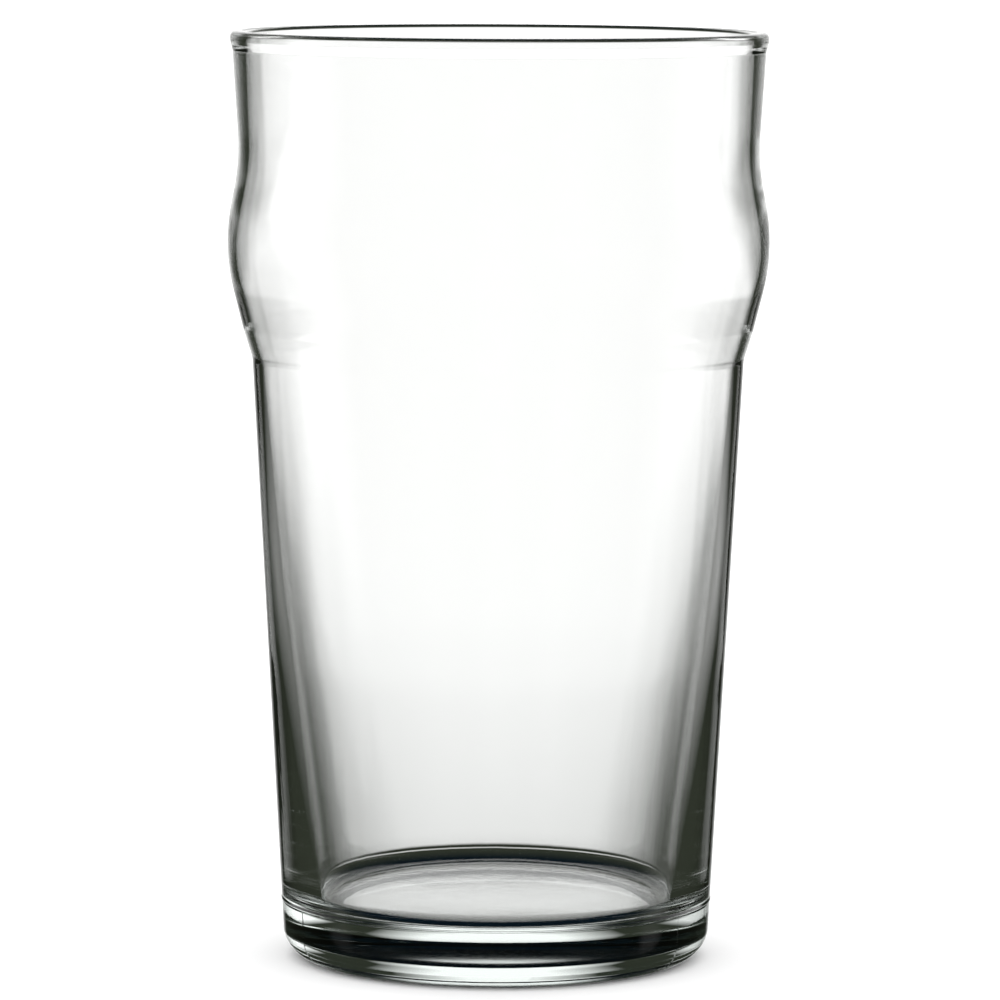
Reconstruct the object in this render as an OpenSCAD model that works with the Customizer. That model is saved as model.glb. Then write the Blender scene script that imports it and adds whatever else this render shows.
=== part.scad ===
// Bulged ("nonic") pint glass: one piece of moulded soda-lime glass.
// Lengths are in millimetres. The origin is the centre of the ring the glass stands on, and +Z goes
// up its axis of symmetry.
//
// The wall is one turned shape. Its section is drawn as two outlines, outside and inside, each given
// by the few corners where its straight stretches meet and the radius that rounds each corner.

/* [Height and foot] */
// Height over all
height = 149; // [140:0.5:160]
// Outside radius of the foot, where the wall's line reaches the table
foot_r = 34.1; // [33:0.1:35]
// Radius that rounds the heel between the foot and the wall
heel_round = 5; // [3:0.1:5.5]
// Outer radius of the shallow recess under the foot
recess_r = 27.4; // [22:0.1:28]
// Depth of that recess, which is nearly flat
recess_depth = 0.35; // [0.1:0.05:0.5]
// Width of the sloping step round the recess
recess_step = 2; // [1.5:0.1:4]

/* [Shoulder, bulge and waist, outside] */
// Height where the straight wall ends and the shoulder starts
shoulder_z = 96.8; // [95:0.1:98]
// Outside radius there
shoulder_r = 39.4; // [39:0.1:39.8]
// Height of the fine ledge partway up the shoulder
ledge_z = 101.4; // [101:0.1:103]
// Outside radius at the ledge
ledge_r = 40.85; // [40.7:0.05:41]
// Height of the bulge
bulge_z = 114.8; // [114:0.1:116]
// Outside radius of the bulge before it is rounded
bulge_r = 44.2; // [44:0.05:44.4]
// Radius that rounds the bulge
bulge_round = 32; // [26:1:36]
// Height of the waist above the bulge
waist_z = 128.1; // [127:0.1:129]
// Outside radius of the waist before it is rounded
waist_r = 41.45; // [41.25:0.05:41.65]
// Outside radius that the flared wall above the waist reaches at the top
flare_r = 42.85; // [42.6:0.05:43.1]

/* [Wall thickness] */
// Height of the inside floor at its centre
floor_z = 8.9; // [8:0.1:11]
// How much higher the floor is at its edge
floor_dip = 0.5; // [0.1:0.05:0.8]
// Wall at the height of the floor
wall_low = 5.8; // [5.3:0.05:6.5]
// Wall halfway up to the shoulder
wall_mid = 3.5; // [3.2:0.1:3.8]
// Wall at the shoulder
wall_shoulder = 1.5; // [1.3:0.05:1.7]
// Wall at the bulge
wall_bulge = 1.6; // [1.4:0.05:1.8]
// Wall at the waist
wall_waist = 1.65; // [1.5:0.05:1.85]
// Glass across the lip
wall_lip = 2.4; // [2.2:0.05:2.6]

/* [Lip and mould line] */
// Height of the thickened, fire-polished lip
lip_height = 3.1; // [2.5:0.1:4]
// How far the lip stands out past the flared wall
lip_out = 0.15; // [0.05:0.05:0.3]
// Radius that rounds the lip
lip_round = 0.9; // [0.6:0.05:0.95]
// Height of the fine mould line above the heel
mould_line_z = 9.6; // [9:0.1:12]
// How far the mould line stands out
mould_line_out = 0.12; // [0.05:0.01:0.2]
// Width of the mould line
mould_line_w = 0.9; // [0.6:0.1:1.2]

/* [Hidden] */
$fn = 96;
// Largest turn, in degrees, that one chord of a rounded corner takes
chord_turn = 3;
// Steps that draw the floor's dip
floor_steps = 8;
// Radii that round the lesser corners
shoulder_round = 4.5;
ledge_round = 2.8;
recess_round = 4;
waist_round = 36;
inner_shoulder_round = 6;
inner_bulge_round = 25;
inner_waist_round = 32;
inner_wall_round = 250;
floor_round = 2.9;
lip_foot_round = 1.2;
// How far inside the flared wall's line the lip's foot lies
lip_foot_in = 0.25;
// Heights where the inside turns, which are a little lower than outside because the wall thins upwards
inner_mid_z = 48;
inner_shoulder_z = 96.8;
inner_bulge_z = 113.2;
inner_waist_z = 128.3;

// Outside and inside radius of the lip
lip_r = flare_r + lip_out;
mouth_r = lip_r - wall_lip;
// Inside radius where the wall's line reaches the floor
floor_r = wall_r(floor_z) - wall_low;
// Heights where the mould line starts and ends
mould_line_low = mould_line_z - mould_line_w / 2;
mould_line_high = mould_line_z + mould_line_w / 2;

// Outside radius of the straight wall at height z
function wall_r(z) = foot_r + (shoulder_r - foot_r) * z / shoulder_z;

// A corner is [radius from the axis, height, rounding]
outside = [
    [foot_r, 0, heel_round],
    [wall_r(mould_line_low), mould_line_low, 0],
    [wall_r(mould_line_z) + mould_line_out, mould_line_z, 0],
    [wall_r(mould_line_high), mould_line_high, 0],
    [shoulder_r, shoulder_z, shoulder_round],
    [ledge_r, ledge_z, ledge_round],
    [bulge_r, bulge_z, bulge_round],
    [waist_r, waist_z, waist_round],
    [flare_r - lip_foot_in, height - lip_height, lip_foot_round],
    [lip_r, height - lip_height / 2, lip_round],
    [lip_r, height, lip_round],
    [mouth_r, height, lip_round]
];
inside = [
    [waist_r - wall_waist, inner_waist_z, inner_waist_round],
    [bulge_r - wall_bulge, inner_bulge_z, inner_bulge_round],
    [wall_r(inner_shoulder_z) - wall_shoulder, inner_shoulder_z, inner_shoulder_round],
    [wall_r(inner_mid_z) - wall_mid, inner_mid_z, inner_wall_round],
    [floor_r, floor_z + floor_dip, floor_round]
];
// The floor from where its corner's rounding has ended, dipping to the centre
floor_line = [
    for (i = [2 : floor_steps])
        let (u = 1 - i / floor_steps)
        [floor_r * u, floor_z + floor_dip * u * u, 0]
];
recess = [
    [0, recess_depth, 0],
    [recess_r - recess_step, recess_depth, recess_round],
    [recess_r, 0, recess_round]
];
corners = concat(recess, outside, inside, floor_line);

// Unit vector from p to q, both taken as [radius, height]
function towards(p, q) =
    let (d = [q[0] - p[0], q[1] - p[1]])
    d / norm(d);

// The points that stand for corner c between its neighbours a and b: the corner itself, or an arc of
// radius c[2] that meets both straight stretches without a kink
function rounded(a, c, b) =
    c[2] == 0 ? [[c[0], c[1]]] :
    let (
        to_a = towards(c, a),
        to_b = towards(c, b),
        half_angle = acos(to_a * to_b) / 2,
        middle = [c[0], c[1]] + (to_a + to_b) / norm(to_a + to_b) * c[2] / sin(half_angle),
        start = [c[0], c[1]] + to_a * c[2] / tan(half_angle) - middle,
        turn = 180 - 2 * half_angle,
        side = sign(to_a[0] * to_b[1] - to_a[1] * to_b[0]),
        steps = max(2, ceil(turn / chord_turn))
    )
    [
        for (i = [0 : steps])
            let (t = -side * turn * i / steps)
            middle + [start[0] * cos(t) - start[1] * sin(t), start[0] * sin(t) + start[1] * cos(t)]
    ];

// A closed outline through the corners, each rounded
function outline(list) = [
    for (i = [0 : len(list) - 1])
        for (p = rounded(list[(i + len(list) - 1) % len(list)], list[i], list[(i + 1) % len(list)]))
            p
];

module glass_body() {
    color([0.82, 0.88, 0.87, 0.35])
        rotate_extrude()
            polygon(outline(corners));
}

glass_body();
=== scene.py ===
"""A clear one-pint beer glass with a bulge below its lip, lit the way a product photographer lights glass.

The glass is one turned piece. Its section has the CAD part's corners, and it carries what a real moulded
glass shows: three faint mould seams, a mould line above the heel, a stippled ring under
the foot round a shallow recess, and a wall that isn't perfectly even.
"""

import math

import bpy
import numpy as np
from mathutils import Matrix, Vector, noise


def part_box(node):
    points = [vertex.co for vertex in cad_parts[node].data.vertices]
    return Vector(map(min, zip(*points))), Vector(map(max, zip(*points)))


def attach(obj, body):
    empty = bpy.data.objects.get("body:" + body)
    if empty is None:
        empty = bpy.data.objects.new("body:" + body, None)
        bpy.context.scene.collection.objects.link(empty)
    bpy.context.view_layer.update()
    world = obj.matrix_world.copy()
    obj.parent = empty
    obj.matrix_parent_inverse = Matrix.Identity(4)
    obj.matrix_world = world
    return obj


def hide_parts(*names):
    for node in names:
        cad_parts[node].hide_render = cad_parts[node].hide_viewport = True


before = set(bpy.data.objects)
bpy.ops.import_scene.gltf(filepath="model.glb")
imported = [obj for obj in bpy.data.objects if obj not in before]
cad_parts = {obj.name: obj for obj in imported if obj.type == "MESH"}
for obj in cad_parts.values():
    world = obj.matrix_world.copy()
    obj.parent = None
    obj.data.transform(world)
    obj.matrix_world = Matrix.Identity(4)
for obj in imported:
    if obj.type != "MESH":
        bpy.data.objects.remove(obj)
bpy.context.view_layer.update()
CAD_NODE = "glass_body"
LOW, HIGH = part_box(CAD_NODE)

MM = 0.001
TAU = 2 * math.pi

# The glass, in millimetres, as the CAD part has it
HEIGHT = (HIGH.z - LOW.z) / MM
FOOT_R = 34.1
HEEL_ROUND = 5.0
RECESS_R = 27.4
RECESS_DEPTH = 0.35
RECESS_STEP = 2.0
RECESS_ROUND = 4.0
SHOULDER_R, SHOULDER_Z, SHOULDER_ROUND = 39.4, 96.8, 4.5
LEDGE_R, LEDGE_Z, LEDGE_ROUND = 40.85, 101.4, 2.8
BULGE_R, BULGE_Z, BULGE_ROUND = 44.2, 114.8, 32.0
WAIST_R, WAIST_Z, WAIST_ROUND = 41.45, 128.1, 36.0
FLARE_R = 42.85
FLARE_IN = 0.25
FLARE_ROUND = 1.2
LIP_HEIGHT = 3.1
LIP_OUT = 0.15
LIP_ROUND = 0.9
MOULD_LINE_Z = 9.6
MOULD_LINE_OUT = 0.12
MOULD_LINE_W = 0.9
MOULD_LINE_ROUND = 0.5
MOULD_LINE_EDGE_ROUND = 0.4
FLOOR_Z = 8.9
FLOOR_DIP = 0.5
FLOOR_ROUND = 2.9
WALL_LIP = 2.4
WALL_WAIST, INNER_WAIST_Z, INNER_WAIST_ROUND = 1.65, 128.3, 32.0
WALL_BULGE, INNER_BULGE_Z, INNER_BULGE_ROUND = 1.6, 113.2, 25.0
WALL_SHOULDER, INNER_SHOULDER_Z, INNER_SHOULDER_ROUND = 1.5, 96.8, 6.0
WALL_MID, INNER_MID_Z, INNER_MID_ROUND = 3.5, 48.0, 250.0
WALL_LOW = 5.8


def wall_r(z):
    """Outside radius of the straight wall at height z."""
    return FOOT_R + (SHOULDER_R - FOOT_R) * z / SHOULDER_Z


# Fineness of the mesh
ARC_STEP = math.radians(3.0)
LONGEST_STEP = 2.0
COLUMNS = 240
RING_STEP = 0.3
FLOOR_RINGS = 12
# Mould seams: the way round from -Y in degrees, and how far each stands out in millimetres
SEAMS = ((-63, 0.06), (57, 0.06), (177, 0.01))
SEAM_HALF_WIDTH = 0.22
# The relief stops short of the lip, and below or above these heights it is the foot's or the floor's
LIP_CLEAR = 0.3
UNDERSIDE_TOP = 0.5
FLOOR_TOP = FLOOR_Z + 0.6

line_low = MOULD_LINE_Z - MOULD_LINE_W / 2
line_high = MOULD_LINE_Z + MOULD_LINE_W / 2
lip_r = FLARE_R + LIP_OUT
floor_r = wall_r(FLOOR_Z) - WALL_LOW
# Outer edge of the flat ring that the glass stands on
ring_r = FOOT_R - HEEL_ROUND
pitted_r = ring_r + 0.3

# A corner of the section is (radius from the axis, height, rounding)
SECTION = [
    (0.0, RECESS_DEPTH, 0),
    (RECESS_R - RECESS_STEP, RECESS_DEPTH, RECESS_ROUND),
    (RECESS_R, 0.0, RECESS_ROUND),
    *[(r, 0.0, 0) for r in np.arange(RECESS_R + 0.6, ring_r + 0.1, RING_STEP)],
    (FOOT_R, 0.0, HEEL_ROUND),
    (wall_r(line_low), line_low, MOULD_LINE_EDGE_ROUND),
    (wall_r(MOULD_LINE_Z) + MOULD_LINE_OUT, MOULD_LINE_Z, MOULD_LINE_ROUND),
    (wall_r(line_high), line_high, MOULD_LINE_EDGE_ROUND),
    (SHOULDER_R, SHOULDER_Z, SHOULDER_ROUND),
    (LEDGE_R, LEDGE_Z, LEDGE_ROUND),
    (BULGE_R, BULGE_Z, BULGE_ROUND),
    (WAIST_R, WAIST_Z, WAIST_ROUND),
    (FLARE_R - FLARE_IN, HEIGHT - LIP_HEIGHT, FLARE_ROUND),
    (lip_r, HEIGHT - LIP_HEIGHT / 2, LIP_ROUND),
    (lip_r, HEIGHT, LIP_ROUND),
    (lip_r - WALL_LIP, HEIGHT, LIP_ROUND),
    (WAIST_R - WALL_WAIST, INNER_WAIST_Z, INNER_WAIST_ROUND),
    (BULGE_R - WALL_BULGE, INNER_BULGE_Z, INNER_BULGE_ROUND),
    (wall_r(INNER_SHOULDER_Z) - WALL_SHOULDER, INNER_SHOULDER_Z, INNER_SHOULDER_ROUND),
    (wall_r(INNER_MID_Z) - WALL_MID, INNER_MID_Z, INNER_MID_ROUND),
    (floor_r, FLOOR_Z + FLOOR_DIP, FLOOR_ROUND),
    *[
        (floor_r * u, FLOOR_Z + FLOOR_DIP * u * u, 0)
        for u in np.linspace(0.8, 0, FLOOR_RINGS)
    ],
]


def rounded(before, corner, after):
    """The points for one corner: itself, or an arc that meets both straight stretches smoothly."""
    here, radius = np.array(corner[:2]), corner[2]
    if radius == 0:
        return [here]
    to_before = np.array(before[:2]) - here
    to_after = np.array(after[:2]) - here
    to_before = to_before / np.linalg.norm(to_before)
    to_after = to_after / np.linalg.norm(to_after)
    half = math.acos(float(to_before @ to_after)) / 2
    inward = (to_before + to_after) / np.linalg.norm(to_before + to_after)
    middle = here + inward * radius / math.sin(half)
    start = here + to_before * radius / math.tan(half) - middle
    turn = math.pi - 2 * half
    side = math.copysign(1.0, to_before[0] * to_after[1] - to_before[1] * to_after[0])
    steps = max(3, math.ceil(turn / ARC_STEP))
    points = []
    for i in range(steps + 1):
        t = -side * turn * i / steps
        c, s = math.cos(t), math.sin(t)
        points.append(middle + np.array([start[0] * c - start[1] * s, start[0] * s + start[1] * c]))
    return points


def outline(corners):
    """An open outline through the corners, each rounded, with long straight stretches divided."""
    points = [np.array(corners[0][:2])]
    for before, corner, after in zip(corners, corners[1:], corners[2:]):
        points += rounded(before, corner, after)
    points.append(np.array(corners[-1][:2]))
    fine = [points[0]]
    for a, b in zip(points, points[1:]):
        length = np.linalg.norm(b - a)
        if length < 1e-6:
            continue
        parts = max(1, math.ceil(length / LONGEST_STEP))
        fine += [a + (b - a) * k / parts for k in range(1, parts + 1)]
    return fine


def column_angles():
    """Angles of the mesh's columns: even all round, with a few more beside each mould seam."""
    angles = {round(TAU * i / COLUMNS - math.pi, 5) for i in range(COLUMNS)}
    for seam, _ in SEAMS:
        for offset in (-0.6, -0.38, -0.19, 0, 0.19, 0.38, 0.6):
            a = math.radians(seam + offset)
            angles.add(round((a + math.pi) % TAU - math.pi, 5))
    return sorted(angles)


def angle_apart(a, b):
    return abs((a - b + math.pi) % TAU - math.pi)


def outside_offset(r, z, angle):
    """How far the outside stands off the perfect turned shape, in millimetres along the radius."""
    place = Vector((math.cos(angle) * 1.5, math.sin(angle) * 1.5, z * 0.03))
    off = 0.015 * (noise.noise(place) - 1)
    if 1.0 < z < line_low:
        for seam, height in SEAMS:
            near = angle_apart(angle, math.radians(seam)) * r
            off += height * max(0.0, 1 - near / SEAM_HALF_WIDTH)
    return off


def inside_offset(z, angle):
    """The same for the inside, where the plunger leaves slow waves and fine upright streaks."""
    c, s = math.cos(angle), math.sin(angle)
    thick = 1 - min(1.0, max(0.0, (z - FLOOR_Z) / 90))
    wave = noise.noise(Vector((c * 2.2, s * 2.2, z * 0.022)))
    streak = noise.noise(Vector((c * 9.0, s * 9.0, z * 0.012 + 7)))
    return (0.03 + 0.03 * thick) * wave + 0.008 * streak


def under_offset(r, angle):
    """How far the underside is lifted: pits in the bearing ring, slow waves in the recess."""
    x, y = r * math.sin(angle), -r * math.cos(angle)
    if r > RECESS_R - 0.2:
        edge = min(r - RECESS_R + 0.2, pitted_r - r)
        pits = max(0.0, noise.noise(Vector((x * 1.3, y * 1.3, 5.0))))
        return 0.16 * pits * min(1.0, max(0.0, edge / 0.5))
    return 0.006 * noise.noise(Vector((x * 0.25, y * 0.25, 3.0)))


def floor_offset(r, angle):
    """Slow waves in the inside floor."""
    x, y = r * math.sin(angle), -r * math.cos(angle)
    return 0.012 * noise.noise(Vector((x * 0.13, y * 0.13, 9.0))) * min(1.0, r / 2)


def make_glass():
    profile = outline(SECTION)
    angles = column_angles()
    n = len(angles)
    top = max(range(len(profile)), key=lambda i: profile[i][1])
    verts = []
    for i, (r, z) in enumerate(profile[1:-1], 1):
        outside = i < top
        for angle in angles:
            rr, zz = r, z
            if outside and z < UNDERSIDE_TOP:
                zz = z + under_offset(r, angle) if r < pitted_r else z
            elif outside and z < HEIGHT - LIP_CLEAR:
                rr = r + outside_offset(r, z, angle)
            elif not outside and FLOOR_TOP < z < HEIGHT - LIP_CLEAR:
                rr = r + inside_offset(z, angle)
            elif not outside and z <= FLOOR_TOP:
                zz = z + floor_offset(r, angle)
            verts.append((rr * math.sin(angle) * MM, -rr * math.cos(angle) * MM, zz * MM))
    rings = len(profile) - 2
    base = len(verts)
    verts.append((0, 0, profile[0][1] * MM))
    verts.append((0, 0, profile[-1][1] * MM))
    faces = []
    for i in range(rings - 1):
        for j in range(n):
            k = (j + 1) % n
            faces.append((i * n + j, i * n + k, (i + 1) * n + k, (i + 1) * n + j))
    for j in range(n):
        k = (j + 1) % n
        faces.append((base, k, j))
        faces.append((base + 1, (rings - 1) * n + j, (rings - 1) * n + k))
    mesh = bpy.data.meshes.new("pint_glass")
    mesh.from_pydata(verts, [], faces)
    mesh.update()
    mesh.polygons.foreach_set("use_smooth", [True] * len(mesh.polygons))
    obj = bpy.data.objects.new("pint_glass", mesh)
    bpy.context.scene.collection.objects.link(obj)
    return obj


# Materials ------------------------------------------------------------------------------------------


class Nodes:
    """A node tree that is cleared and then built by short calls."""

    def __init__(self, tree):
        self.tree = tree
        self.tree.nodes.clear()

    def add(self, kind, **settings):
        node = self.tree.nodes.new("ShaderNode" + kind)
        for name, value in settings.items():
            setattr(node, name, value)
        return node

    def feed(self, socket, value):
        if isinstance(value, bpy.types.NodeSocket):
            self.tree.links.new(value, socket)
        else:
            socket.default_value = value

    def math(self, operation, a, b=0.0):
        node = self.add("Math", operation=operation)
        self.feed(node.inputs[0], a)
        self.feed(node.inputs[1], b)
        return node.outputs[0]

    def ramp(self, source, span, start, end):
        node = self.add("MapRange")
        for name, value in zip(("From Min", "From Max", "To Min", "To Max"), (*span, start, end)):
            node.inputs[name].default_value = value
        self.feed(node.inputs["Value"], source)
        return node.outputs[0]

    def noise(self, coords, stretch, scale, detail=2.0):
        mapping = self.add("Mapping")
        self.feed(mapping.inputs["Vector"], coords)
        mapping.inputs["Scale"].default_value = stretch
        node = self.add("TexNoise")
        self.feed(node.inputs["Vector"], mapping.outputs[0])
        node.inputs["Scale"].default_value = scale
        node.inputs["Detail"].default_value = detail
        return node.outputs[0]


def new_material(name):
    mat = bpy.data.materials.new(name)
    mat.use_nodes = True
    return mat, Nodes(mat.node_tree)


def glass_material():
    mat, n = new_material("clear_glass")
    out = n.add("OutputMaterial")
    coords = n.add("TexCoord").outputs["Object"]
    height = n.add("SeparateXYZ")
    n.feed(height.inputs[0], coords)
    z = height.outputs["Z"]

    smudges = n.ramp(n.noise(coords, (1, 1, 0.6), 38, 3), (0.6, 0.8), 0, 0.02)
    rubbing = n.noise(coords, (1, 1, 9), 260, 3)
    scuffs = n.ramp(rubbing, (0.66, 0.74), 0, 0.05)
    bulge_band = n.ramp(n.math("ABSOLUTE", n.math("SUBTRACT", z, BULGE_Z * MM)), (0.002, 0.006), 1, 0)
    stipple = n.ramp(z, (0.0002, 0.0006), 0.16, 0)
    rough = n.math("ADD", smudges, n.math("MULTIPLY", scuffs, bulge_band))
    rough = n.math("MAXIMUM", rough, stipple)

    streaks = n.noise(coords, (1, 1, 0.05), 420, 2)
    streaks = n.math("MULTIPLY", streaks, n.ramp(z, (0.01, 0.06), 1, 0))
    ripples = n.noise(coords, (0.3, 0.3, 1), 260, 2)
    relief = n.math("ADD", streaks, n.math("MULTIPLY", ripples, 0.25))
    bump = n.add("Bump")
    bump.inputs["Strength"].default_value = 1.0
    bump.inputs["Distance"].default_value = 0.000012
    n.feed(bump.inputs["Height"], relief)

    bsdf = n.add("BsdfPrincipled")
    bsdf.inputs["Base Color"].default_value = (1, 1, 1, 1)
    bsdf.inputs["IOR"].default_value = 1.52
    bsdf.inputs["Transmission Weight"].default_value = 1.0
    n.feed(bsdf.inputs["Roughness"], rough)
    n.feed(bsdf.inputs["Normal"], bump.outputs[0])
    volume = n.add("VolumeAbsorption")
    volume.inputs["Color"].default_value = (0.72, 0.86, 0.80, 1)
    volume.inputs["Density"].default_value = 6.0
    n.feed(out.inputs["Surface"], bsdf.outputs[0])
    n.feed(out.inputs["Volume"], volume.outputs[0])
    return mat


def matt_material(name, color):
    mat, n = new_material(name)
    diffuse = n.add("BsdfDiffuse")
    diffuse.inputs["Color"].default_value = color
    n.feed(n.add("OutputMaterial").inputs["Surface"], diffuse.outputs[0])
    return mat


glass = make_glass()
glass.data.materials.append(glass_material())
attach(glass, "root")
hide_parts(CAD_NODE)

# Camera ---------------------------------------------------------------------------------------------
cam_data = bpy.data.cameras.new("camera")
cam_data.sensor_width = 36
cam_data.lens = 219.6
cam = bpy.data.objects.new("camera", cam_data)
bpy.context.scene.collection.objects.link(cam)
cam.matrix_world = (
    Matrix.Translation((0.39 * MM, -975 * MM, 176.3 * MM))
    @ Matrix.Rotation(math.radians(90 - 6.0), 4, "X")
    @ Matrix.Rotation(math.radians(0.25), 4, "Z")
)
bpy.context.scene.camera = cam

# Floor ----------------------------------------------------------------------------------------------
# Only the eye and the soft light see it: glass in front of a lit floor would show none of its own edges
half = 100
floor_mesh = bpy.data.meshes.new("floor")
floor_mesh.from_pydata(
    [(-half, -half, 0), (half, -half, 0), (half, half, 0), (-half, half, 0)],
    [],
    [(0, 1, 2, 3)],
)
floor = bpy.data.objects.new("floor", floor_mesh)
bpy.context.scene.collection.objects.link(floor)
floor.data.materials.append(matt_material("floor_white", (0.9, 0.9, 0.9, 1)))
floor.visible_transmission = False
floor.visible_glossy = False

# Lights ---------------------------------------------------------------------------------------------
# Screens that only the glass sees: a soft white backdrop far behind it, black either side of that, and a
# large softbox close by on each side, standing on the table. The black is what draws the dark edges.
# The ways round from straight behind the glass and the rises are in degrees, the screens' sizes in metres.

BACKDROP_R = 6.0
BACKDROP_Z = (-2.5, 6.2)
BACKDROP_GLOW = 1.15
BACKDROP_FADE = (5.0, 20.0)
BACKDROP_SPREAD = 0.5
BACKDROP_FOOT = (-18.5, -9.0)
BACKDROP_HEAD = (40, 45)
SOFTBOX_R = 0.46
SOFTBOX_Z = (-0.16, 0.85)
SOFTBOX_NEAR = (32, 45)
SOFTBOX_LEAN = 1.2
SOFTBOX_FAR = (64, 100)
SOFTBOX_FOOT = (-0.03, -0.006)
SOFTBOX_DROP = 0.002
SOFTBOX_HEAD = (0.6, 0.8)
SOFTBOX_GLOW = (0.95, 1.6)


def band(name, radius, reach, span):
    """An upright curved screen: part of a cylinder round the glass, `reach` degrees each way from straight
    behind it, between two heights."""
    columns = 72
    verts, faces = [], []
    for i in range(columns + 1):
        a = math.radians(reach) * (2 * i / columns - 1)
        for z in span:
            verts.append((radius * math.sin(a), radius * math.cos(a), z))
    for i in range(columns):
        k = 2 * i
        faces.append((k, k + 1, k + 3, k + 2))
    mesh = bpy.data.meshes.new(name)
    mesh.from_pydata(verts, [], faces)
    return mesh


def directions(n, radius):
    """The way round and the rise of a point on a screen, in degrees, with its x and z."""
    place = n.add("SeparateXYZ")
    n.feed(place.inputs[0], n.add("TexCoord").outputs["Object"])
    x, y, z = place.outputs
    around = n.math("DEGREES", n.math("ABSOLUTE", n.math("ARCTAN2", x, y)))
    return around, n.math("DEGREES", n.math("ARCTAN2", z, radius)), x, z


def glow(mat, n, strength):
    """Light of that strength, added to whatever is behind the screen."""
    emission = n.add("Emission")
    n.feed(emission.inputs["Strength"], strength)
    both = n.add("AddShader")
    n.feed(both.inputs[0], emission.outputs[0])
    n.feed(both.inputs[1], n.add("BsdfTransparent").outputs[0])
    n.feed(n.add("OutputMaterial").inputs["Surface"], both.outputs[0])
    mat.cycles.emission_sampling = "NONE"
    return mat


def backdrop_material():
    mat, n = new_material("backdrop_glow")
    around, rise, _, _ = directions(n, BACKDROP_R)
    above = n.math("MINIMUM", n.math("MAXIMUM", n.math("ADD", rise, 4), 0), 18)
    narrowed = n.math("SUBTRACT", around, n.math("MULTIPLY", above, BACKDROP_SPREAD))
    strength = n.ramp(narrowed, BACKDROP_FADE, BACKDROP_GLOW, 0)
    low = n.ramp(rise, BACKDROP_FOOT, 1, 0)
    strength = n.math("MULTIPLY", strength, n.math("SUBTRACT", 1.0, n.math("MULTIPLY", low, low)))
    strength = n.math("MULTIPLY", strength, n.ramp(rise, BACKDROP_HEAD, 1, 0))
    return glow(mat, n, strength)


def softbox_material():
    mat, n = new_material("softbox_glow")
    around, rise, x, z = directions(n, SOFTBOX_R)
    leaning = n.math("SUBTRACT", around, n.math("MULTIPLY", n.math("MAXIMUM", rise, 0), SOFTBOX_LEAN))
    lowered = n.math("ADD", z, n.math("MULTIPLY", n.math("SUBTRACT", around, 45), SOFTBOX_DROP))
    strength = n.math("MULTIPLY", n.ramp(leaning, SOFTBOX_NEAR, 0, 1), n.ramp(around, SOFTBOX_FAR, 1, 0))
    strength = n.math("MULTIPLY", strength, n.ramp(lowered, SOFTBOX_FOOT, 0, 1))
    strength = n.math("MULTIPLY", strength, n.ramp(z, SOFTBOX_HEAD, 1, 0))
    strength = n.math("MULTIPLY", strength, n.ramp(x, (-0.05, 0.05), *SOFTBOX_GLOW))
    return glow(mat, n, strength)


def only_for_glass(obj):
    """Hide a light from the eye and from the floor, so that only the glass sees it."""
    bpy.context.scene.collection.objects.link(obj)
    obj.visible_camera = False
    obj.visible_diffuse = False
    obj.visible_shadow = False


# Both screens ride on the camera, as they do when the glass is turned in front of a fixed camera
for name, mesh, mat, foot in (
    ("backdrop", band("backdrop", BACKDROP_R, 60, BACKDROP_Z), backdrop_material(), HEIGHT / 2 * MM),
    ("softboxes", band("softboxes", SOFTBOX_R, 105, SOFTBOX_Z), softbox_material(), 0.0),
):
    screen = bpy.data.objects.new(name, mesh)
    only_for_glass(screen)
    screen.data.materials.append(mat)
    screen.parent = cam
    screen.matrix_local = cam.matrix_world.inverted() @ Matrix.Translation((0, 0, foot))


# Past the screens the glass sees a dark room: olive at its own level, blue-black towards the floor and the
# ceiling. The eye and the floor see plain white.
ROOM_LEVEL = (0.030, 0.035, 0.025, 1)
ROOM_ENDS = (0.001, 0.005, 0.010, 1)
world = bpy.data.worlds.new("studio")
bpy.context.scene.world = world
world.use_nodes = True
world.cycles.sampling_method = "NONE"
w = Nodes(world.node_tree)
direction = w.add("SeparateXYZ")
w.feed(direction.inputs[0], w.add("TexCoord").outputs["Generated"])
room = w.add("ValToRGB")
w.feed(room.inputs[0], w.ramp(w.math("ABSOLUTE", direction.outputs["Z"]), (0.45, 0.75), 0, 1))
room.color_ramp.elements[0].color = ROOM_LEVEL
room.color_ramp.elements[1].color = ROOM_ENDS
dark = w.add("Background")
w.feed(dark.inputs["Color"], room.outputs[0])
white = w.add("Background")
white.inputs["Color"].default_value = (1, 1, 1, 1)
white.inputs["Strength"].default_value = 1.7
path = w.add("LightPath")
mix = w.add("MixShader")
w.feed(mix.inputs[0], w.math("ADD", path.outputs["Is Camera Ray"], path.outputs["Is Diffuse Ray"]))
w.feed(mix.inputs[1], dark.outputs[0])
w.feed(mix.inputs[2], white.outputs[0])
w.feed(w.add("OutputWorld").inputs["Surface"], mix.outputs[0])

scene = bpy.context.scene
scene.view_settings.view_transform = "Standard"
scene.cycles.max_bounces = 24
scene.cycles.transmission_bounces = 24
scene.cycles.glossy_bounces = 12
scene.cycles.use_denoising = True
